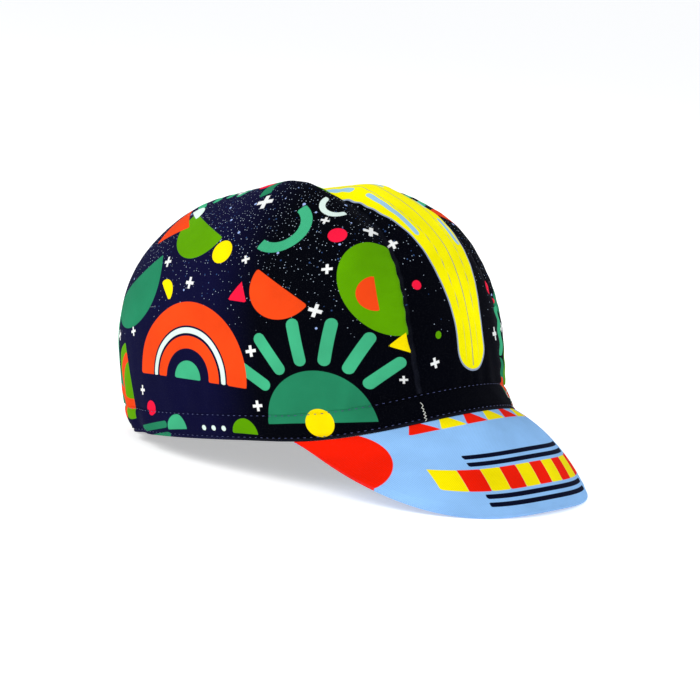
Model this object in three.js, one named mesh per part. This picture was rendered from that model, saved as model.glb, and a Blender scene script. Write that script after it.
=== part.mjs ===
// A cotton cycling cap with a short turned-down peak, standing by itself on a table.
// Millimetres, +Z up, the peak towards -Y, the wearer's right at -X, mirrored about X = 0.
import * as THREE from 'three';

// The crown. Its sizes are those of the cap as worn, over the outside of the cloth.
const capLength = 198;
const capWidth = 157;
const crownHeight = 124;
const ovalRoundness = 2.15;
const clothThickness = 1.2;
const seamGap = 0.3;

// The centre strip from the forehead over to the nape, and the two seams beside it.
const stripWidth = 71;
const seamValleyDepth = 3.4;
const seamValleyReach = 14;

// The turned-up hem. It bows up over the forehead and is gathered by elastic at the nape.
const bandHeight = 13;
const bandThickness = 2.0;
const hemRise = 9.7;
const hemFlare = 7.0;
const gatherDepth = 1.0;
const gatherFade = 24;
const gatherPitch = 16;
const gatherStart = 112;

// The peak, measured along its top surface from the hem to the rim.
const peakLength = 61.5;
const peakRoundness = 3.2;
const peakThickness = 2.2;
const peakCornerThickness = 1.0;
const peakTuck = 1.7;
const peakEndAngle = 69;
const flareEndAngle = 80;
const peakSlope = 27;
const peakDroop = 44;
const peakSideEase = 7;

// How much of the soft rear hem is pressed flat where the cap stands on it.
const hemPress = 1.2;

const halfLength = capLength / 2;
const halfWidth = capWidth / 2;
const halfGap = seamGap / 2;
const degrees = Math.PI / 180;

// Sections of the crown from hem to apex: height as a share of crownHeight, the reach
// forwards and backwards as shares of half the length, sideways as a share of half the width.
const crownSections = [
  { height: 0.000, front: 1.000, back: 1.000, side: 1.000 },
  { height: 0.120, front: 1.000, back: 1.047, side: 1.030 },
  { height: 0.270, front: 1.003, back: 1.066, side: 1.040 },
  { height: 0.430, front: 0.985, back: 1.066, side: 1.030 },
  { height: 0.590, front: 0.930, back: 1.000, side: 0.980 },
  { height: 0.740, front: 0.830, back: 0.865, side: 0.875 },
  { height: 0.865, front: 0.665, back: 0.660, side: 0.695 },
  { height: 0.950, front: 0.425, back: 0.400, side: 0.440 },
  { height: 1.000, front: 0.000, back: 0.000, side: 0.000 },
];

// Rows of the centre strip at even turns from the forehead over to the nape: its width as a
// share of stripWidth, the depth of the seam valley as a share of seamValleyDepth.
const stripRows = [
  { width: 0.91, valley: 0.20 },
  { width: 1.01, valley: 0.45 },
  { width: 0.86, valley: 0.80 },
  { width: 0.62, valley: 1.00 },
  { width: 0.55, valley: 1.00 },
  { width: 0.54, valley: 0.90 },
  { width: 0.57, valley: 0.70 },
  { width: 0.63, valley: 0.45 },
  { width: 0.70, valley: 0.25 },
];

function smoothCurve(before, start, end, after, share) {
  const bend = 2 * before - 5 * start + 4 * end - after;
  const twist = 3 * start - 3 * end + after - before;
  return start + 0.5 * share * (end - before + share * (bend + share * twist));
}

function readRow(rows, index, column) {
  const last = rows.length - 1;
  if (index < 0) return 2 * rows[0][column] - rows[1][column];
  if (index <= last) return rows[index][column];
  // Past the apex the crown is mirrored: heights repeat and reaches change sign.
  if (rows !== crownSections) return 2 * rows[last][column] - rows[last - 1][column];
  return column === 'height' ? rows[last - 1].height : -rows[last - 1][column];
}

function readTable(rows, column, place) {
  const spans = rows.length - 1;
  const index = Math.min(Math.max(Math.floor(place * spans), 0), spans - 1);
  return smoothCurve(
    readRow(rows, index - 1, column),
    readRow(rows, index, column),
    readRow(rows, index + 1, column),
    readRow(rows, index + 2, column),
    place * spans - index,
  );
}

const sectionSteps = 800;
const sections = Array.from({ length: sectionSteps + 1 }, (unused, step) => ({
  height: readTable(crownSections, 'height', step / sectionSteps) * crownHeight,
  front: readTable(crownSections, 'front', step / sectionSteps) * halfLength,
  back: readTable(crownSections, 'back', step / sectionSteps) * halfLength,
  side: readTable(crownSections, 'side', step / sectionSteps) * halfWidth,
}));

function sectionAt(height) {
  if (height <= 0) return sections[0];
  if (height >= crownHeight) return sections[sectionSteps];
  let low = 0;
  let high = sectionSteps;
  while (high - low > 1) {
    const middle = (low + high) >> 1;
    if (sections[middle].height > height) high = middle;
    else low = middle;
  }
  const below = sections[low];
  const above = sections[high];
  const share = (height - below.height) / (above.height - below.height);
  return {
    front: below.front + (above.front - below.front) * share,
    back: below.back + (above.back - below.back) * share,
    side: below.side + (above.side - below.side) * share,
  };
}

// A point of the smooth crown at an angle round from the forehead and a height.
function wallPoint(angle, height) {
  const section = sectionAt(height);
  const ahead = Math.cos(angle);
  const aside = Math.sin(angle);
  const power = 2 / ovalRoundness;
  const reach = ahead > 0 ? section.front : section.back;
  return new THREE.Vector3(
    -Math.sign(aside) * Math.abs(aside) ** power * section.side,
    -Math.sign(ahead) * Math.abs(ahead) ** power * reach,
    height,
  );
}

function isInside(x, y, z) {
  if (z >= crownHeight) return false;
  const section = sectionAt(z);
  const reach = y < 0 ? section.front : section.back;
  const across = Math.abs(x) / section.side;
  const along = Math.abs(y) / reach;
  return across ** ovalRoundness + along ** ovalRoundness < 1;
}

function castToCrown(start, direction) {
  let near = 0;
  let far = capLength;
  for (let step = 0; step < 36; step += 1) {
    const middle = (near + far) / 2;
    const x = start.x + direction.x * middle;
    const y = start.y + direction.y * middle;
    const z = start.z + direction.z * middle;
    if (isInside(x, y, z)) near = middle;
    else far = middle;
  }
  return start.clone().addScaledVector(direction, near);
}

const crownCentre = new THREE.Vector3(0, 0, bandHeight);

function outwardNormal(point) {
  const step = 0.006;
  const ray = point.clone().sub(crownCentre).normalize();
  const aside = new THREE.Vector3(-ray.y, ray.x, 0);
  if (aside.length() < 0.01) aside.set(1, 0, 0);
  aside.normalize();
  const upward = ray.clone().cross(aside);
  const sample = (along, amount) => castToCrown(
    crownCentre,
    ray.clone().addScaledVector(along, amount).normalize(),
  );
  const acrossCloth = sample(aside, step).sub(sample(aside, -step));
  const upCloth = sample(upward, step).sub(sample(upward, -step));
  const normal = acrossCloth.cross(upCloth).normalize();
  return normal.dot(ray) < 0 ? normal.negate() : normal;
}

// The angle round from the forehead, between 0 and half a turn on either side.
function angleOf(point) {
  const section = sectionAt(point.z);
  const reach = point.y < 0 ? section.front : section.back;
  const power = ovalRoundness / 2;
  const aside = (Math.abs(point.x) / Math.max(section.side, 0.01)) ** power;
  const ahead = (Math.abs(point.y) / Math.max(reach, 0.01)) ** power;
  return Math.atan2(aside, point.y < 0 ? ahead : -ahead);
}

function easeBetween(from, to, value) {
  const share = Math.min(Math.max((value - from) / (to - from), 0), 1);
  return share * share * (3 - 2 * share);
}

function hemHeight(angle) {
  const share = Math.min(Math.abs(angle) / (peakEndAngle * degrees), 1);
  return hemRise * Math.cos(share * Math.PI / 2) ** 2;
}

function flareAt(angle, height) {
  const share = Math.min(Math.abs(angle) / (flareEndAngle * degrees), 1);
  const down = 1 - Math.min(Math.max((height - hemHeight(angle)) / bandHeight, 0), 1);
  return hemFlare * Math.cos(share * Math.PI / 2) * down ** 1.5;
}

function gatherAt(angle, height) {
  const turn = Math.abs(angle) / degrees;
  const window = easeBetween(gatherStart, gatherStart + gatherPitch, turn);
  const fade = 1 - easeBetween(bandHeight, bandHeight + gatherFade, height);
  return gatherDepth * window * fade * Math.cos(2 * Math.PI * (turn - 180) / gatherPitch);
}

function stripHalfWidth(turn) {
  return readTable(stripRows, 'width', turn / Math.PI) * stripWidth / 2;
}

function valleyAt(point) {
  const turn = Math.atan2(point.z - crownCentre.z, -point.y);
  if (turn < 0 || turn > Math.PI) return 0;
  const distance = Math.abs(Math.abs(point.x) - stripHalfWidth(turn));
  const share = 1 - Math.min(distance / seamValleyReach, 1);
  return readTable(stripRows, 'valley', turn / Math.PI) * seamValleyDepth * share * share;
}

// The cloth's outer and inner skins over one point of the smooth crown.
function clothSkins(point, thickness) {
  const normal = outwardNormal(point);
  const angle = angleOf(point);
  const lift = flareAt(angle, point.z) + gatherAt(angle, point.z) - valleyAt(point);
  const outer = point.clone().addScaledVector(normal, lift);
  return { outer, inner: outer.clone().addScaledVector(normal, -thickness) };
}

// Triangles are gathered here. Corners that coincide are shared, and cells that have
// closed up to nothing at the tip of a piece are left out.
class Shell {
  constructor() {
    this.corners = [];
    this.numbers = new Map();
    this.triangles = [];
  }

  number(point) {
    const key = [point.x, point.y, point.z].map((value) => Math.round(value * 1e4)).join();
    if (!this.numbers.has(key)) {
      this.numbers.set(key, this.corners.length);
      this.corners.push(point.clone());
    }
    return this.numbers.get(key);
  }

  triangle(first, second, third) {
    const numbers = [first, second, third].map((point) => this.number(point));
    if (new Set(numbers).size === 3) this.triangles.push(...numbers);
  }

  cell(first, second, third, fourth) {
    this.triangle(first, second, third);
    this.triangle(first, third, fourth);
  }

  sheet(rows) {
    for (let row = 0; row + 1 < rows.length; row += 1) {
      for (let column = 0; column + 1 < rows[row].length; column += 1) {
        this.cell(
          rows[row][column],
          rows[row][column + 1],
          rows[row + 1][column + 1],
          rows[row + 1][column],
        );
      }
    }
  }

  // Cloth of two skins, closed all round its edge.
  cloth(outerRows, innerRows) {
    const last = outerRows.length - 1;
    const firstColumn = (rows) => rows.map((row) => row[0]);
    const lastColumn = (rows) => rows.map((row) => row[row.length - 1]);
    this.sheet(outerRows);
    this.sheet(innerRows.map((row) => [...row].reverse()));
    this.sheet([innerRows[0], outerRows[0]]);
    this.sheet([outerRows[last], innerRows[last]]);
    this.sheet([firstColumn(outerRows), firstColumn(innerRows)]);
    this.sheet([lastColumn(innerRows), lastColumn(outerRows)]);
  }

  geometry() {
    const geometry = new THREE.BufferGeometry();
    const places = this.corners.flatMap((point) => [point.x, point.y, point.z]);
    let volume = 0;
    for (let index = 0; index < this.triangles.length; index += 3) {
      const [a, b, c] = [0, 1, 2].map((offset) => this.corners[this.triangles[index + offset]]);
      volume += a.clone().cross(b).dot(c);
    }
    const order = volume < 0 ? [...this.triangles].reverse() : this.triangles;
    geometry.setAttribute('position', new THREE.Float32BufferAttribute(places, 3));
    geometry.setIndex([...order]);
    return geometry;
  }
}

// The seam between strip and side panel, and the line where both end above the hem band.
function footPoint(aside, toFront) {
  let angle = 0.3;
  let height = bandHeight;
  for (let pass = 0; pass < 12; pass += 1) {
    height = hemHeight(toFront ? angle : Math.PI) + bandHeight + halfGap;
    const share = Math.min(aside / sectionAt(height).side, 1);
    angle = Math.asin(share ** (ovalRoundness / 2));
  }
  return wallPoint(toFront ? angle : Math.PI - angle, height);
}

function turnOf(point) {
  return Math.atan2(point.z - crownCentre.z, -point.y);
}

function stripEnd(share, edge, toFront) {
  let turn = toFront ? 0 : Math.PI;
  let aside = 0;
  for (let pass = 0; pass < 12; pass += 1) {
    aside = Math.abs(share) * (stripHalfWidth(turn) + edge);
    turn = turnOf(footPoint(aside, toFront));
  }
  return turn;
}

function stripPoint(aside, turn) {
  return castToCrown(
    new THREE.Vector3(aside, 0, crownCentre.z),
    new THREE.Vector3(0, -Math.cos(turn), Math.sin(turn)),
  );
}

// Centre strip.
const stripShares = [-1, -0.93, -0.84, -0.7, -0.52, -0.34, -0.17, 0];
const stripStations = [...stripShares, ...stripShares.slice(0, -1).reverse().map((share) => -share)];
const stripTurns = 38;

function centreStrip() {
  const outerRows = [];
  const innerRows = [];
  for (let row = 0; row <= stripTurns; row += 1) {
    const skins = stripStations.map((share) => {
      const start = stripEnd(share, -halfGap, true);
      const end = stripEnd(share, -halfGap, false);
      const turn = start + (end - start) * row / stripTurns;
      const aside = share * (stripHalfWidth(turn) - halfGap);
      return clothSkins(stripPoint(aside, turn), clothThickness);
    });
    outerRows.push(skins.map((skin) => skin.outer));
    innerRows.push(skins.map((skin) => skin.inner));
  }
  const shell = new Shell();
  shell.cloth(outerRows, innerRows);
  return shell.geometry();
}

// Side panel of the wearer's right: a half-moon whose two tips lie where the seam meets the band.
const panelFrontStations = 18;
const panelBackStations = 17;
const panelRises = [0, 0.08, 0.18, 0.3, 0.42, 0.54, 0.66, 0.76, 0.84, 0.9, 0.95, 1];

function sidePanel() {
  const firstTurn = stripEnd(1, halfGap, true);
  const lastTurn = stripEnd(1, halfGap, false);
  const seamAt = (turn) => stripPoint(-(stripHalfWidth(turn) + halfGap), turn);
  const firstAngle = angleOf(seamAt(firstTurn));
  const lastAngle = angleOf(seamAt(lastTurn));
  const gatherAngle = gatherStart * degrees;
  const stations = panelFrontStations + panelBackStations;
  const angles = Array.from({ length: stations + 1 }, (unused, station) => {
    if (station <= panelFrontStations) {
      return firstAngle + (gatherAngle - firstAngle) * station / panelFrontStations;
    }
    const share = (station - panelFrontStations) / panelBackStations;
    return gatherAngle + (lastAngle - gatherAngle) * share;
  });
  const outerRows = [];
  const innerRows = [];
  for (const rise of panelRises) {
    const skins = angles.map((angle, station) => {
      const roundShare = (angle - firstAngle) / (lastAngle - firstAngle);
      const share = 0.5 * roundShare + 0.5 * station / stations;
      const seam = seamAt(firstTurn + (lastTurn - firstTurn) * share);
      if (station === 0 || station === stations) return clothSkins(seam, clothThickness);
      const foot = wallPoint(angle, hemHeight(angle) + bandHeight + halfGap);
      if (rise === 0) return clothSkins(foot, clothThickness);
      if (rise === 1) return clothSkins(seam, clothThickness);
      const ray = foot.clone().lerp(seam, rise).sub(crownCentre).normalize();
      return clothSkins(castToCrown(crownCentre, ray), clothThickness);
    });
    outerRows.push(skins.map((skin) => skin.outer));
    innerRows.push(skins.map((skin) => skin.inner));
  }
  const shell = new Shell();
  shell.cloth(outerRows, innerRows);
  return shell.geometry();
}

// Hem band, one closed ring. Its stations are closer together along the gathered nape.
const bandFrontStations = 46;
const bandBackStations = 52;
const bandRises = [0, 0.3, 0.65, 1];

function bandAngles() {
  const start = gatherStart * degrees;
  const angles = [];
  for (let station = 0; station < bandFrontStations; station += 1) {
    angles.push(-start + 2 * start * station / bandFrontStations);
  }
  for (let station = 0; station < bandBackStations; station += 1) {
    angles.push(start + 2 * (Math.PI - start) * station / bandBackStations);
  }
  angles.push(2 * Math.PI - start);
  return angles;
}

function hemBand() {
  const rings = bandAngles().map((angle) => {
    const turned = Math.atan2(Math.sin(angle), Math.cos(angle));
    const skins = bandRises.map((rise) => {
      const height = hemHeight(turned) + rise * (bandHeight - halfGap);
      return clothSkins(wallPoint(turned, height), bandThickness);
    });
    const inners = skins.map((skin) => skin.inner).reverse();
    return [...skins.map((skin) => skin.outer), ...inners, skins[0].outer];
  });
  const shell = new Shell();
  shell.sheet(rings);
  return shell.geometry();
}

// The line on the outside of the hem's lower edge, where the peak comes out from under it.
function hemEdge(angle) {
  return clothSkins(wallPoint(angle, hemHeight(angle)), bandThickness);
}

function hemEdgeAt(aside) {
  let near = 0;
  let far = Math.PI / 2;
  for (let step = 0; step < 26; step += 1) {
    const middle = (near + far) / 2;
    if (Math.abs(hemEdge(middle).outer.x) < Math.abs(aside)) near = middle;
    else far = middle;
  }
  return hemEdge(-Math.sign(aside) * near);
}

// Peak: a thin board swept forwards and down from the hem edge, as wide as its corners stand.
const peakHalfWidth = Math.abs(hemEdge(peakEndAngle * degrees).outer.x);
const peakColumns = 36;
const peakRows = [0, 0.04, 0.1, 0.22, 0.38, 0.55, 0.72, 0.87, 1];

function peakDrop(aside, along) {
  const ease = peakSideEase * (aside / peakHalfWidth) ** 2;
  const start = (peakSlope - ease) * degrees;
  const bend = peakDroop * degrees / peakLength;
  return {
    ahead: (Math.sin(start + bend * along) - Math.sin(start)) / bend,
    down: (Math.cos(start) - Math.cos(start + bend * along)) / bend,
  };
}

// The board thins towards the two corners where it runs out along the hem.
function boardThickness(column) {
  const share = easeBetween(0, 0.2, Math.min(column, peakColumns - column) / peakColumns);
  return peakCornerThickness + (peakThickness - peakCornerThickness) * share;
}

function peak() {
  const topRows = peakRows.map(() => []);
  const tuckRow = [];
  for (let column = 0; column <= peakColumns; column += 1) {
    const turn = (column / peakColumns - 0.5) * Math.PI;
    const across = Math.sign(turn) * Math.abs(Math.sin(turn)) ** (2 / peakRoundness);
    const reach = Math.max(Math.cos(turn), 0) ** (2 / peakRoundness);
    const aside = peakHalfWidth * across;
    const edge = hemEdgeAt(aside);
    const root = edge.outer.clone();
    root.x = aside;
    root.z -= seamGap;
    const inward = edge.inner.clone().sub(edge.outer).setZ(0).normalize();
    tuckRow.push(root.clone().addScaledVector(inward, peakTuck));
    peakRows.forEach((share, row) => {
      const drop = peakDrop(aside, share * reach * peakLength);
      topRows[row].push(root.clone().add(new THREE.Vector3(0, -drop.ahead, -drop.down)));
    });
  }
  const underside = (row, column) => {
    const before = Math.max(column - 1, 0);
    const after = Math.min(column + 1, peakColumns);
    const sideways = topRows[row][after].clone().sub(topRows[row][before]);
    const forwards = topRows[Math.min(row + 1, peakRows.length - 1)][column].clone()
      .sub(topRows[Math.max(row - 1, 0)][column]);
    if (forwards.length() < 0.01) forwards.set(0, -Math.cos(peakSlope * degrees), -0.4);
    const normal = sideways.cross(forwards).normalize();
    if (normal.z > 0) normal.negate();
    return topRows[row][column].clone().addScaledVector(normal, boardThickness(column));
  };
  const bottomRows = topRows.map((points, row) => points.map((point, column) => (
    column === 0 || column === peakColumns ? underside(0, column) : underside(row, column)
  )));
  const bottomTuck = tuckRow.map((point, column) => (
    point.clone().setZ(point.z - boardThickness(column))
  ));
  const shell = new Shell();
  shell.cloth([tuckRow, ...topRows], [bottomTuck, ...bottomRows]);
  return shell.geometry();
}

function mirrored(geometry) {
  const copy = geometry.clone();
  copy.scale(-1, 1, 1);
  copy.setIndex([...geometry.index.array].reverse());
  return copy;
}

function lowestPoint(geometry, tilt) {
  const places = geometry.attributes.position;
  let lowest = Infinity;
  for (let index = 0; index < places.count; index += 1) {
    const height = places.getZ(index) * Math.cos(tilt) - places.getY(index) * Math.sin(tilt);
    lowest = Math.min(lowest, height);
  }
  return lowest;
}

const rightPanel = sidePanel();
const pieces = {
  crown_panel_right: rightPanel,
  crown_panel_left: mirrored(rightPanel),
  crown_strip: centreStrip(),
  hem_band: hemBand(),
  peak: peak(),
};

// Set down by itself, the cap leans back until its rear hem and the rim of its peak touch.
let tilt = 0;
let steepest = 30 * degrees;
for (let step = 0; step < 40; step += 1) {
  const middle = (tilt + steepest) / 2;
  const hem = lowestPoint(pieces.hem_band, middle) + hemPress;
  if (hem > lowestPoint(pieces.peak, middle)) tilt = middle;
  else steepest = middle;
}
const floorHeight = lowestPoint(pieces.peak, tilt);

const whole = new THREE.Box3();
for (const geometry of Object.values(pieces)) {
  geometry.rotateX(-tilt);
  geometry.translate(0, 0, -floorHeight);
  const places = geometry.attributes.position;
  for (let index = 0; index < places.count; index += 1) {
    places.setZ(index, Math.max(places.getZ(index), 0));
  }
  geometry.computeBoundingBox();
  whole.union(geometry.boundingBox);
}
const middleY = (whole.min.y + whole.max.y) / 2;

const colours = {
  crown_panel_right: '#12143a',
  crown_panel_left: '#12143a',
  crown_strip: '#e8d420',
  hem_band: '#10122e',
  peak: '#8fbdf2',
};

const cap = new THREE.Group();
cap.name = 'cycling_cap';
for (const [name, geometry] of Object.entries(pieces)) {
  geometry.translate(0, -middleY, 0);
  geometry.computeVertexNormals();
  const material = new THREE.MeshStandardMaterial({
    color: colours[name],
    roughness: 0.9,
    metalness: 0,
  });
  material.name = `${name}_cotton`;
  const mesh = new THREE.Mesh(geometry, material);
  mesh.name = name;
  cap.add(mesh);
}

export default cap;
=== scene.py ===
# A cotton cycling cap standing on a table on its peak and its rear hem.
# The cap is shaped in millimetres as it is worn, then leaned back and stood on the floor.
import math

import bmesh
import bpy
import numpy as np
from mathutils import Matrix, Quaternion, Vector


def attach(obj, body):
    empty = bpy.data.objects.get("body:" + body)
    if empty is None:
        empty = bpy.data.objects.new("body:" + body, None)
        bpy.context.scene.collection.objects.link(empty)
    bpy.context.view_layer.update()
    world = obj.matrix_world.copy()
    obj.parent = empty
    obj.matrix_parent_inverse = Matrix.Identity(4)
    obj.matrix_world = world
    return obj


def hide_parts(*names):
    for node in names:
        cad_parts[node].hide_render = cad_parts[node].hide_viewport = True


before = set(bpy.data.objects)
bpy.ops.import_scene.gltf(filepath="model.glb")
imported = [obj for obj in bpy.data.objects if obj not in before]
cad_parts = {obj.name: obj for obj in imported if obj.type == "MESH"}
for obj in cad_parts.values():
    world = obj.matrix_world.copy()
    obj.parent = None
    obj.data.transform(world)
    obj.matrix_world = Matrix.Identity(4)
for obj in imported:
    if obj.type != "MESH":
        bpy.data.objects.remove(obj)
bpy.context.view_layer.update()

# Camera: a long lens from the wearer's right and a little in front, just above the table.
# The picture is rolled a few degrees, because it was taken with the cap level on a head.
camera_place = Vector((-1.0728, -0.8471, 0.2792))
camera_aim = Vector((0.0110, 0.0099, 0.0536))
camera_roll = math.radians(5.07)

camera = bpy.data.objects.new("camera", bpy.data.cameras.new("camera"))
camera.data.sensor_width = 36
camera.data.lens = 143.2
camera.data.clip_end = 60
camera.location = camera_place
sight = (camera_aim - camera_place).normalized()
camera.rotation_mode = "QUATERNION"
camera.rotation_quaternion = sight.to_track_quat("-Z", "Y") @ Quaternion((0, 0, 1), camera_roll)
bpy.context.scene.collection.objects.link(camera)
bpy.context.scene.camera = camera
bpy.context.scene.view_settings.view_transform = "Standard"


# Side panels: two half-moons of printed cotton twill, one on each side of the head, sewn to
# the centre strip along a seam that draws the cloth in. Their lower edge runs into the hem.
cap_length = 198.0
cap_width = 157.0
crown_height = 124.0
oval_roundness = 2.15
cloth_thickness = 1.2
band_height = 13.0
hem_rise = 9.7
hem_flare = 7.0
peak_end_angle = math.radians(69)
flare_end_angle = math.radians(80)
gather_depth = 1.0
gather_fade = 24.0
gather_pitch = 16.0
gather_start = 112.0
strip_width = 71.0
valley_depth = 3.4
valley_reach = 14.0
seam_half_gap = 0.03
# Length of cloth for each radian over the crown and round the hem.
crown_run = 95
hem_run = 90

# How the worn crown has set. Each form has a height, and a place and spread in degrees over
# the head from the forehead. The shoulders are how far each runs out beside the seam.
strip_stand, strip_stand_at = 2.2, (69, 5)
strip_sag, strip_sag_at = 6.5, (90, 12)
panel_stand, panel_stand_at = 6.3, (79, 12)
seam_sink, seam_sink_at = 2.5, (92, 25)
strip_shoulder, panel_shoulder, seam_shoulder = 8, 11, 7

# Depths of the cloth's small forms, all sewn in or left by handling.
slack_depth = 0.50
fine_slack_depth = 0.26
pucker_depth = 0.38
far_pucker_depth = 0.12
pucker_wave = 1.35
rolled_seam_depth = 1.1
seam_dip_depth = 1.3
seam_lip_height = 0.18
drag_fold_depth = 0.34
drag_fold_wave = 2.3

# Lean, lift and shift that stand the worn cap on the floor.
standing_lean = math.radians(9.0543)
standing_lift = 14.687
standing_shift = 18.360

# Height, front, back and side reach of the crown, as shares of its own sizes.
crown_rows = np.array([
    (0.000, 1.000, 1.000, 1.000),
    (0.120, 1.000, 1.047, 1.030),
    (0.270, 1.003, 1.066, 1.040),
    (0.430, 0.985, 1.066, 1.030),
    (0.590, 0.930, 1.000, 0.980),
    (0.740, 0.830, 0.865, 0.875),
    (0.865, 0.665, 0.660, 0.695),
    (0.950, 0.425, 0.400, 0.440),
    (1.000, 0.000, 0.000, 0.000),
])
# Width of the centre strip and depth of the seam valley, from the forehead to the nape.
strip_rows = np.array([
    (0.91, 0.20),
    (1.01, 0.45),
    (0.86, 0.80),
    (0.62, 1.00),
    (0.55, 1.00),
    (0.54, 0.90),
    (0.57, 0.70),
    (0.63, 0.45),
    (0.70, 0.25),
])


def read_rows(rows, after, place):
    spans = len(rows) - 1
    padded = np.vstack([2 * rows[0] - rows[1], rows, after])
    index = np.clip((place * spans).astype(int), 0, spans - 1)
    share = (place * spans - index)[..., None]
    before, start, end, later = (padded[index + offset] for offset in range(4))
    bend = 2 * before - 5 * start + 4 * end - later
    twist = 3 * start - 3 * end + later - before
    return start + 0.5 * share * (end - before + share * (bend + share * twist))


crown_places = np.linspace(0, 1, 1601)
past_apex = crown_rows[-2] * np.array([1, -1, -1, -1])
crown_profile = read_rows(crown_rows, past_apex, crown_places)
crown_profile *= np.array([crown_height, cap_length / 2, cap_length / 2, cap_width / 2])
crown_slopes = np.gradient(crown_profile, crown_places, axis=0)


def crown_reach(height, forward):
    place = np.interp(height, crown_profile[:, 0], crown_places)
    front, back, side = (
        np.maximum(np.interp(place, crown_places, crown_profile[:, column]), 0.01)
        for column in (1, 2, 3)
    )
    return np.where(forward, front, back), side


def wall_points(angle, height):
    angle, height = np.broadcast_arrays(angle, height)
    ahead, aside = np.cos(angle), np.sin(angle)
    reach, side = crown_reach(height, ahead > 0)
    power = 2 / oval_roundness
    x = -np.sign(aside) * np.abs(aside) ** power * side
    y = -np.sign(ahead) * np.abs(ahead) ** power * reach
    return np.stack([x, y, height], -1)


def inside_crown(points):
    x, y, z = points[..., 0], points[..., 1], points[..., 2]
    reach, side = crown_reach(z, y < 0)
    oval = (np.abs(x) / side) ** oval_roundness + (np.abs(y) / reach) ** oval_roundness
    return (oval < 1) & (z < crown_height)


def cast_to_crown(start, direction, halvings=34):
    """Where lines from inside meet the crown, found by halving the way to it."""
    near = np.zeros(direction.shape[:-1])
    far = np.full(direction.shape[:-1], cap_length)
    for _ in range(halvings):
        middle = (near + far) / 2
        within = inside_crown(start + direction * middle[..., None])
        near = np.where(within, middle, near)
        far = np.where(within, far, middle)
    return start + direction * near[..., None]


def unit(vectors):
    return vectors / np.linalg.norm(vectors, axis=-1, keepdims=True)


def outward(points):
    """Unit normals of the plain crown."""
    x, y, z = points[..., 0], points[..., 1], points[..., 2]
    place = np.interp(z, crown_profile[:, 0], crown_places)
    reach, side = crown_reach(z, y < 0)
    read = [np.interp(place, crown_places, crown_slopes[:, column]) for column in range(4)]
    climb = np.maximum(read[0], 1e-6)
    reach_slope = np.where(y < 0, read[1], read[2])
    across, along = np.abs(x) / side, np.abs(y) / reach
    normal = np.stack([
        np.sign(x) * across ** (oval_roundness - 1) / side * climb,
        np.sign(y) * along ** (oval_roundness - 1) / reach * climb,
        -(across ** oval_roundness * read[3] / side
          + along ** oval_roundness * reach_slope / reach) + 1e-9,
    ], -1)
    return unit(normal)


def angle_round(points):
    """Angle round the head, from nought at the forehead to half a turn at the nape."""
    x, y, z = points[..., 0], points[..., 1], points[..., 2]
    reach, side = crown_reach(z, y < 0)
    power = oval_roundness / 2
    aside = (np.abs(x) / side) ** power
    ahead = (np.abs(y) / reach) ** power
    return np.arctan2(aside, np.where(y < 0, ahead, -ahead))


def ease(start, end, value):
    share = np.clip((value - start) / (end - start), 0, 1)
    return share * share * (3 - 2 * share)


def hem_height(angle):
    share = np.minimum(np.abs(angle) / peak_end_angle, 1)
    return hem_rise * np.cos(share * math.pi / 2) ** 2


def flare(angle, height):
    """How far the front of the hem stands out over the root of the peak."""
    share = np.minimum(np.abs(angle) / flare_end_angle, 1)
    down = 1 - np.clip((height - hem_height(angle)) / band_height, 0, 1)
    return hem_flare * np.cos(share * math.pi / 2) * down ** 1.5


def gathers(angle, height):
    """Folds that the elastic draws up at the nape."""
    turn = np.degrees(np.abs(angle))
    window = ease(gather_start, gather_start + gather_pitch, turn)
    fade = 1 - ease(band_height, band_height + gather_fade, height)
    return gather_depth * window * fade * np.cos(2 * math.pi * (turn - 180) / gather_pitch)


def turn_over(points):
    """Angle over the head, from nought at the forehead to half a turn at the nape."""
    return np.arctan2(points[..., 2] - band_height, -points[..., 1])


def strip_shape(turn):
    return read_rows(strip_rows, 2 * strip_rows[-1] - strip_rows[-2], turn / math.pi)


def strip_half_width(turn):
    return strip_shape(turn)[..., 0] * strip_width / 2


def from_seam(points):
    """Distance to the seam: below nought on the strip, above nought on a panel."""
    return np.abs(points[..., 0]) - strip_half_width(np.clip(turn_over(points), 0, math.pi))


def seam_valley(points):
    turn = turn_over(points)
    inside = (turn >= 0) & (turn <= math.pi)
    depth = strip_shape(np.clip(turn, 0, math.pi))[..., 1] * valley_depth
    share = 1 - np.minimum(np.abs(from_seam(points)) / valley_reach, 1)
    return np.where(inside, depth * share ** 2, 0)


def bulge(points, place):
    return np.exp(-((np.degrees(turn_over(points)) - place[0]) / place[1]) ** 2)


def crown_set(points):
    """The strip stands up at its front and sags between the panels behind that, and the
    right panel stands proud beside the sag."""
    seam = from_seam(points)
    middle = np.where(seam < 0, 1 - np.exp(-(seam / strip_shoulder) ** 2), 0)
    beside = np.maximum(seam, 0) / panel_shoulder
    beside = np.where(points[..., 0] < 0, beside * np.exp(1 - beside), 0)
    at_seam = np.exp(-(seam / seam_shoulder) ** 2)
    return (middle * (strip_stand * bulge(points, strip_stand_at)
                      - strip_sag * bulge(points, strip_sag_at))
            + beside * panel_stand * bulge(points, panel_stand_at)
            - at_seam * seam_sink * bulge(points, seam_sink_at))


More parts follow.
